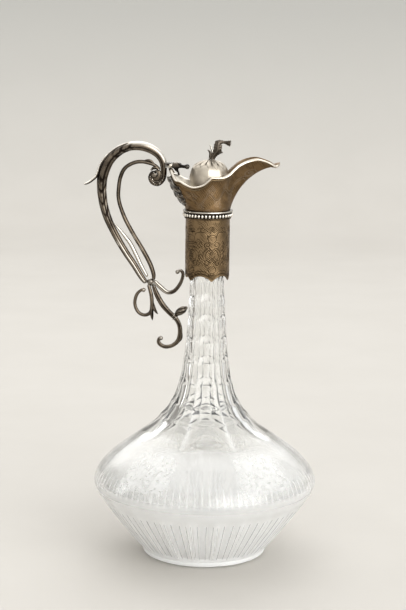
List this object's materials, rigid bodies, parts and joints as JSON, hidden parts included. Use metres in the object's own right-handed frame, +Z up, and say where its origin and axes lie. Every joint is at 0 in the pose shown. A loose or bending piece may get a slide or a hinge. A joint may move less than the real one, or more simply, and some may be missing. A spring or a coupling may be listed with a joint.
{
  "type": "claret jug",
  "caption": "Cut-glass claret jug with a silver collar, pouring bowl, scroll handle and a hinged domed lid with a cast finial.",
  "frame": {"origin": "centre of the glass foot, on the surface that the jug stands on", "axes": "+Z up the jug's axis, +X towards the spout, -X towards the handle"},
  "size_m": [0.1681, 0.1604, 0.3],
  "materials": {
    "cut_glass": "clear lead glass, cut flutes below and stepped panels on the neck, finely engraved foliage on the shoulder",
    "plaster": "matt cast plaster",
    "engraved_silver": "silver plate gone brown, engraved with scrolls",
    "polished_silver": "rubbed bright silver plate",
    "cast_silver": "cast and chased silver plate, dark in the hollows and bright on the ridges",
    "lid_silver": "pale bright silver plate with embossed leaves"
  },
  "bodies": {
    "jug": {"glass_body": "cut_glass", "plaster_bed": "plaster", "neck_sleeve": "engraved_silver", "sleeve_reed": "polished_silver", "bead_band": "polished_silver", "band_wire": "polished_silver", "pouring_collar": "polished_silver", "spout_bowl": "engraved_silver", "rim_moulding": "polished_silver", "mount_leaf": "cast_silver", "hinge_lugs": "cast_silver", "hinge_pin": "polished_silver", "handle_main_scroll": "cast_silver", "handle_thumb_spur": "cast_silver", "handle_inner_scroll": "cast_silver", "handle_leaf_strip": "cast_silver", "handle_knot": "cast_silver", "handle_sleeve_hook": "cast_silver", "handle_lower_scroll": "cast_silver", "handle_rest_bud": "cast_silver", "handle_back_loop": "cast_silver"},
    "lid": {"lid_cover": "lid_silver", "lid_strap": "cast_silver", "finial": "cast_silver", "finial_stud": "polished_silver", "finial_washer": "polished_silver", "finial_nut": "polished_silver"}
  },
  "joints": [
    {"name": "lid_hinge", "type": "hinge", "parent": "jug", "child": "lid", "pos_m": [-0.0267, 0, 0.2814], "axis": [0, -1, 0], "range_deg": [0, 90]}
  ]
}
